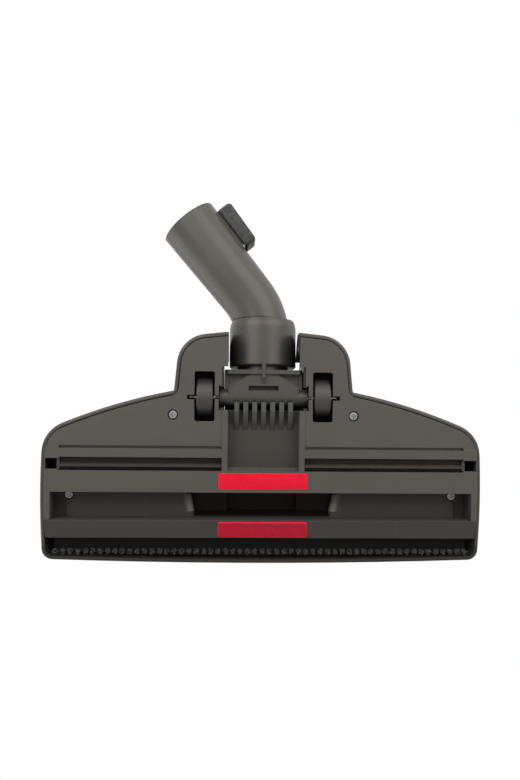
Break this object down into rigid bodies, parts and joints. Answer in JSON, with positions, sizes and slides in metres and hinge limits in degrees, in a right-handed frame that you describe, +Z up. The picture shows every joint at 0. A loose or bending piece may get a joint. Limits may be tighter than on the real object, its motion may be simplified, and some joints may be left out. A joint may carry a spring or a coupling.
{
  "type": "vacuum floor brush head",
  "caption": "Wide low floor head for a vacuum cleaner with suction channel, lint pads, retractable front brush, rear wheels and a tilting neck with a swivelling elbow tube.",
  "frame": {"origin": "on the floor, under the middle of the suction mouth", "axes": "+X along the head's width, to the side the tube bends at rest; +Y backwards, from the brush to the neck; +Z up"},
  "size_m": [0.2804, 0.238, 0.057],
  "materials": {
    "housing": "fine moulded grain, satin",
    "sole": "satin, lightly grained",
    "duct": "plain moulded",
    "seal": "matte",
    "lint": "short directional nap",
    "wiper": "matte",
    "steel": "bright turned steel",
    "wheel": "satin",
    "neck": "satin",
    "ring": "natural",
    "tube": "satin",
    "latch": "satin",
    "carrier": "plain moulded",
    "bristle": "dull fibre",
    "pedal": "satin"
  },
  "bodies": {
    "head": {"top_housing": "housing", "sole_plate": "sole", "air_duct": "duct", "duct_gasket": "seal", "lint_strip_rear": "lint", "lint_strip_front": "lint", "rear_wiper_left": "wiper", "rear_wiper_right": "wiper", "axle_pin_left": "steel", "axle_pin_right": "steel", "wing_screws": "steel", "channel_screws": "steel", "pedal_pin": "steel", "pedal_spring": "steel"},
    "neck": {"neck_yoke": "neck", "swivel_ring": "ring"},
    "tube": {"elbow_tube": "tube", "swivel_seal": "seal", "latch_pin": "steel", "latch_spring": "steel"},
    "latch": {"latch_lever": "latch"},
    "left_wheel": {"wheel_left": "wheel"},
    "right_wheel": {"wheel_right": "wheel"},
    "rocker": {"pedal": "pedal"},
    "brush": {"brush_carrier": "carrier", "bristle_strip": "carrier", "bristle_tufts": "bristle", "end_tufts": "bristle"}
  },
  "joints": [
    {"name": "neck_tilt", "type": "hinge", "parent": "head", "child": "neck", "pos_m": [0, 0.0687, 0.0125], "axis": [1, 0, 0], "range_deg": [0, 45]},
    {"name": "tube_swivel", "type": "hinge", "parent": "neck", "child": "tube", "pos_m": [0, 0.06745, 0.02675], "axis": [0, 0.9962, 0.0872], "continuous": true},
    {"name": "latch_press", "type": "hinge", "parent": "tube", "child": "latch", "pos_m": [0.02091, 0.18425, 0.03696], "axis": [0, -0.0872, 0.9962], "range_deg": [0, 6], "stiffness_Nm_per_rad": 0.3, "springref_deg": -2.86, "deforming": ["latch_spring"]},
    {"name": "left_wheel_spin", "type": "hinge", "parent": "head", "child": "left_wheel", "pos_m": [0.0375, 0.0687, 0.0125], "axis": [1, 0, 0], "continuous": true},
    {"name": "right_wheel_spin", "type": "hinge", "parent": "head", "child": "right_wheel", "pos_m": [-0.0375, 0.0687, 0.0125], "axis": [1, 0, 0], "continuous": true},
    {"name": "pedal_rock", "type": "hinge", "parent": "head", "child": "rocker", "pos_m": [0, 0.01, 0.0356], "axis": [1, 0, 0], "range_deg": [0, 8.7]},
    {"name": "brush_drop", "type": "slide", "parent": "head", "child": "brush", "axis": [0, 0, -1], "range_m": [0, 0.005]}
  ],
  "couplings": [
    {"joint": "brush_drop", "follows": "pedal_rock", "m_per_rad": 0.0329}
  ]
}
